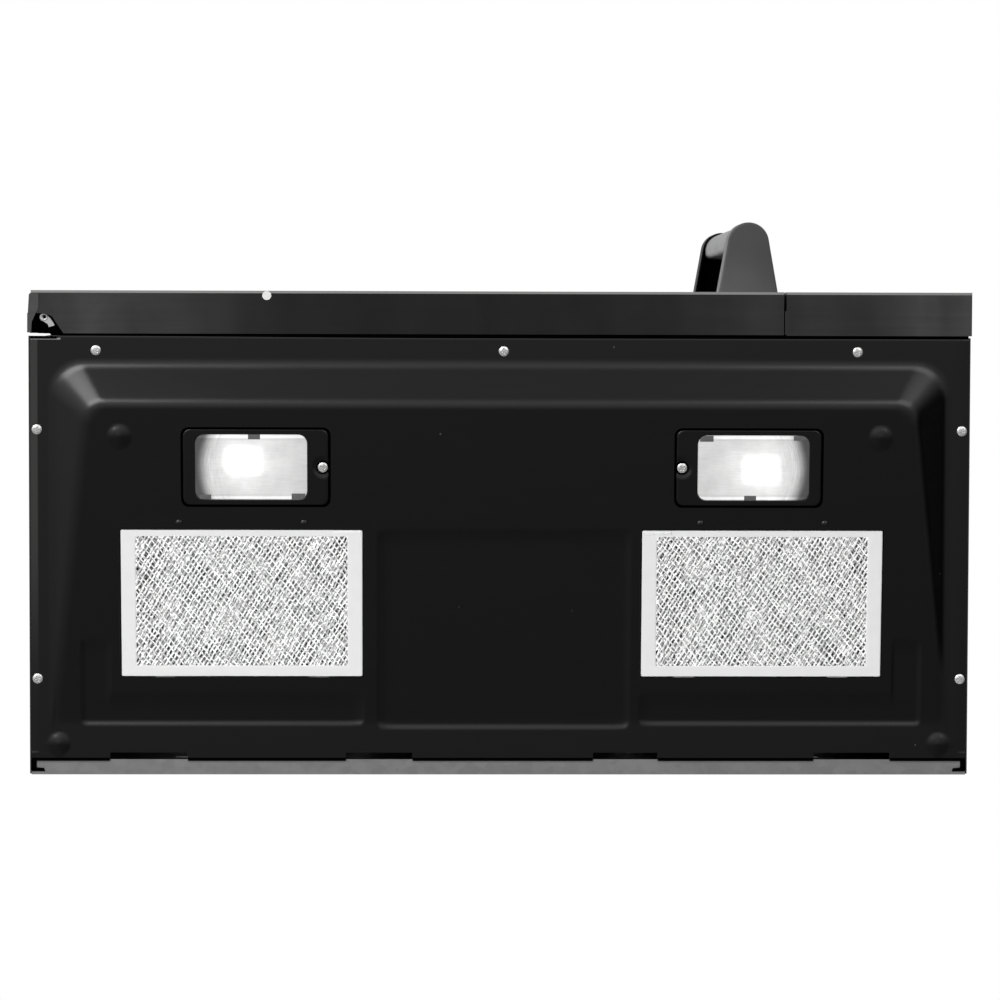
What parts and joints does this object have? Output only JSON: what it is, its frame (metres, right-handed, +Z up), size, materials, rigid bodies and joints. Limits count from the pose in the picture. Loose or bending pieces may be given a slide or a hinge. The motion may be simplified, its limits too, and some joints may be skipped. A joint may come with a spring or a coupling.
{
  "type": "over the range microwave",
  "caption": "Over the range microwave oven with swinging door, stamped underside, lamps, grease filters, turntable, blower and exhaust damper.",
  "frame": {"origin": "middle of the row of hanging slots, in the plane of the wall and at the height of the flat rim of the base", "axes": "+X to the right as seen from the front, +Y towards the wall, +Z up"},
  "size_m": [0.759, 0.447, 0.4189],
  "materials": {
    "black_steel": "gloss black baked enamel on stamped steel",
    "case_black": "satin black powder coat",
    "zinc_steel": "dull galvanised sheet",
    "stainless": "fine horizontal brushing",
    "oven_enamel": "light grey oven enamel",
    "black_glass": "black printed glass",
    "clear_glass": "clear pressed glass",
    "frosted_glass": "ribbed frosted glass",
    "bulb_glass": "pearl glass",
    "filter_aluminium": "bright rolled aluminium",
    "cast_aluminium": "matt die cast",
    "black_plastic": "fine grained black moulding",
    "grey_post": "dark grey moulded",
    "handle_metal": "satin brushed",
    "screw_steel": "zinc plated",
    "plug_white": "pale moulded",
    "mica": "mica board",
    "copper_winding": "lacquered copper wire",
    "board_green": "printed board",
    "charcoal": "charcoal granules in a holder",
    "grey_plastic": "grey moulding"
  },
  "bodies": {
    "cabinet": {"base_plate": "black_steel", "cabinet_shell": "case_black", "rear_panel": "zinc_steel", "oven_cavity": "oven_enamel", "waveguide": "zinc_steel", "waveguide_cover": "mica", "magnetron": "cast_aluminium", "bay_shelf": "zinc_steel", "transformer": "copper_winding", "capacitor": "cast_aluminium", "cooling_fan_frame": "grey_plastic", "blower_housing": "zinc_steel", "blower_motor": "cast_aluminium", "turntable_motor": "zinc_steel", "lamp_housing_left": "zinc_steel", "lamp_housing_right": "zinc_steel", "lamp_bulb_left": "bulb_glass", "lamp_bulb_right": "bulb_glass", "cabinet_screws": "screw_steel", "control_frame": "black_plastic", "control_trim": "stainless", "control_glass": "black_glass", "control_board": "board_green", "vent_grille": "stainless", "charcoal_filter": "charcoal", "hinge_bracket_lower": "screw_steel", "hinge_bracket_upper": "screw_steel", "interlock_bracket": "grey_plastic", "interlock_switches": "black_plastic", "cord_bushing": "black_plastic", "exhaust_collar": "zinc_steel", "mounting_nuts": "screw_steel"},
    "door": {"door_frame": "black_plastic", "door_skin": "stainless", "door_glass": "black_glass", "door_screen": "black_steel", "choke_cover": "black_plastic", "handle_bar": "handle_metal", "handle_post_lower": "grey_post", "handle_post_upper": "grey_post", "handle_screws": "screw_steel", "door_plug": "plug_white"},
    "latch": {"latch_hooks": "grey_plastic"},
    "lamp_cover_left": {"lamp_cover_left": "black_steel", "lamp_glass_left": "frosted_glass", "lamp_screw_left": "screw_steel"},
    "lamp_cover_right": {"lamp_cover_right": "black_steel", "lamp_glass_right": "frosted_glass", "lamp_screw_right": "screw_steel"},
    "filter_left": {"filter_frame_left": "filter_aluminium", "filter_mesh_left": "filter_aluminium"},
    "filter_right": {"filter_frame_right": "filter_aluminium", "filter_mesh_right": "filter_aluminium"},
    "turntable": {"glass_tray": "clear_glass", "turntable_hub": "grey_plastic"},
    "rollers": {"roller_ring": "grey_plastic"},
    "blower": {"blower_wheels": "zinc_steel"},
    "fan": {"cooling_fan": "grey_plastic"},
    "damper": {"exhaust_damper": "zinc_steel"}
  },
  "joints": [
    {"name": "door_hinge", "type": "hinge", "parent": "cabinet", "child": "door", "pos_m": [-0.365, -0.3686, 0.174], "axis": [0, 0, -1], "range_deg": [0, 97]},
    {"name": "latch_lift", "type": "slide", "parent": "door", "child": "latch", "axis": [0, 0, 1], "range_m": [0, 0.004], "stiffness_N_per_m": 300, "springref_m": -0.002},
    {"name": "lamp_cover_left_hinge", "type": "hinge", "parent": "cabinet", "child": "lamp_cover_left", "pos_m": [-0.2553, -0.2488, -0.01559], "axis": [0, 0.9971, 0.0757], "range_deg": [0, 70]},
    {"name": "lamp_cover_right_hinge", "type": "hinge", "parent": "cabinet", "child": "lamp_cover_right", "pos_m": [0.2583, -0.2488, -0.01559], "axis": [0, -0.9971, -0.0757], "range_deg": [0, 70]},
    {"name": "filter_left_hinge", "type": "hinge", "parent": "cabinet", "child": "filter_left", "pos_m": [-0.2075, -0.07952, -0.00275], "axis": [1, 0, 0], "range_deg": [0, 60]},
    {"name": "filter_right_hinge", "type": "hinge", "parent": "cabinet", "child": "filter_right", "pos_m": [0.2105, -0.07952, -0.00275], "axis": [1, 0, 0], "range_deg": [0, 60]},
    {"name": "turntable_spin", "type": "hinge", "parent": "cabinet", "child": "turntable", "pos_m": [-0.07, -0.1943, 0.07], "axis": [0, 0, 1], "continuous": true},
    {"name": "ring_spin", "type": "hinge", "parent": "cabinet", "child": "rollers", "pos_m": [-0.07, -0.1943, 0.07], "axis": [0, 0, 1], "continuous": true},
    {"name": "blower_spin", "type": "hinge", "parent": "cabinet", "child": "blower", "pos_m": [0, -0.059, 0.3338], "axis": [1, 0, 0], "continuous": true},
    {"name": "fan_spin", "type": "hinge", "parent": "cabinet", "child": "fan", "pos_m": [0.30425, -0.072, 0.245], "axis": [0, 1, 0], "continuous": true},
    {"name": "damper_lift", "type": "hinge", "parent": "cabinet", "child": "damper", "pos_m": [0, -0.0255, 0.391], "axis": [-1, 0, 0], "range_deg": [0, 75]}
  ],
  "couplings": [
    {"joint": "ring_spin", "follows": "turntable_spin", "ratio": 0.5}
  ]
}
